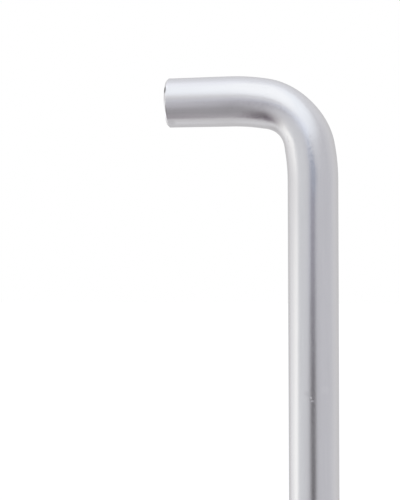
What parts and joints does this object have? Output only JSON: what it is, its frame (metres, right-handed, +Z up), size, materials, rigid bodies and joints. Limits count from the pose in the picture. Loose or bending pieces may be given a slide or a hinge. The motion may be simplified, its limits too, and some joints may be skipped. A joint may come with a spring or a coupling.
{
  "type": "d pull handle",
  "caption": "Round-bar D pull handle in satin anodised aluminium, with tight right-angle bends and tapped feet for through bolts.",
  "frame": {"origin": "on the foot plane that meets the door, midway between the axes of the two fixing holes", "axes": "+Z up, along the grip; +Y out of the feet, into the door; the grip lies at -Y"},
  "size_m": [0.019, 0.065, 0.319],
  "materials": {
    "satin_aluminium": "satin anodised, natural silver, with a very fine soft sheen"
  },
  "bodies": {
    "root": {"pull_handle": "satin_aluminium"}
  },
  "joints": []
}
